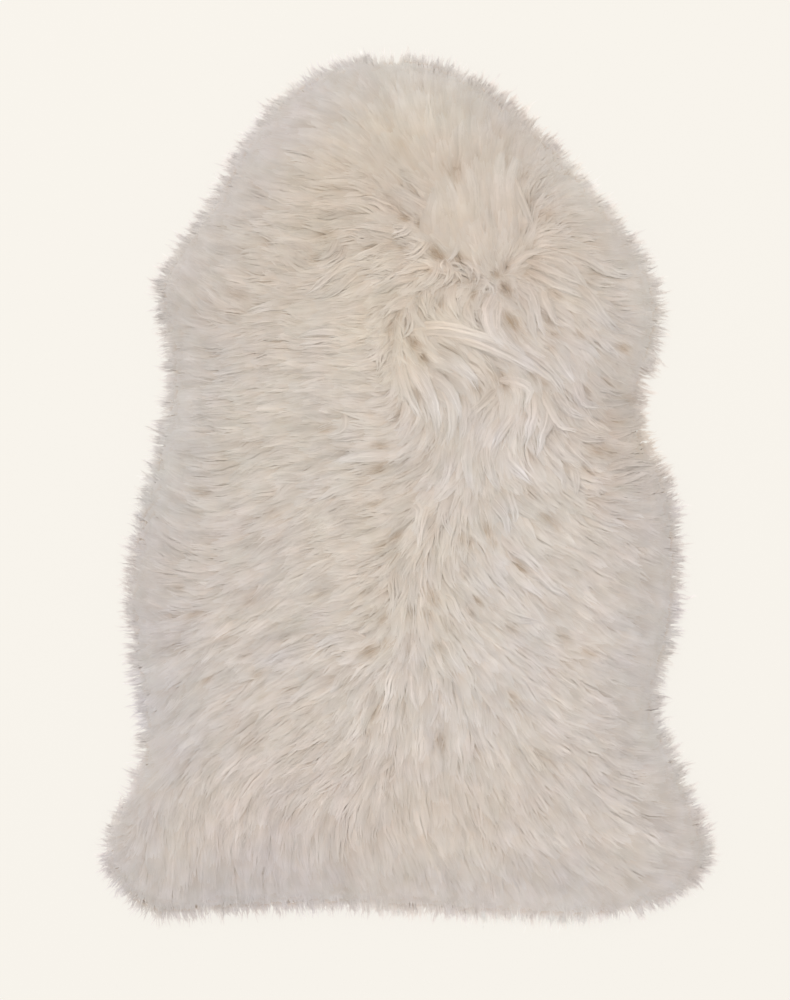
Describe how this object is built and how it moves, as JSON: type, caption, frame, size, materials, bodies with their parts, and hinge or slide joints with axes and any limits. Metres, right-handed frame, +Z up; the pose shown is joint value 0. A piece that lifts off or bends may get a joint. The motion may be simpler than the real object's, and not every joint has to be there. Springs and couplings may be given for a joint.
{
  "type": "sheepskin rug",
  "caption": "Long-wool sheepskin rug lying flat, in the skin's natural outline: rounded neck, shoulders, waist and flared hind corners.",
  "frame": {"origin": "on the floor, under the middle of the rug's box", "axes": "+Z up out of the wool, +Y along the length towards the head end, +X across to the right seen from above with the head end away"},
  "size_m": [0.635, 0.9, 0.0474],
  "materials": {
    "wool": "long silky wavy wool, matt with a soft sheen, warm beige along the back and cooler towards the edge"
  },
  "bodies": {
    "root": {"sheepskin": "wool"}
  },
  "joints": []
}
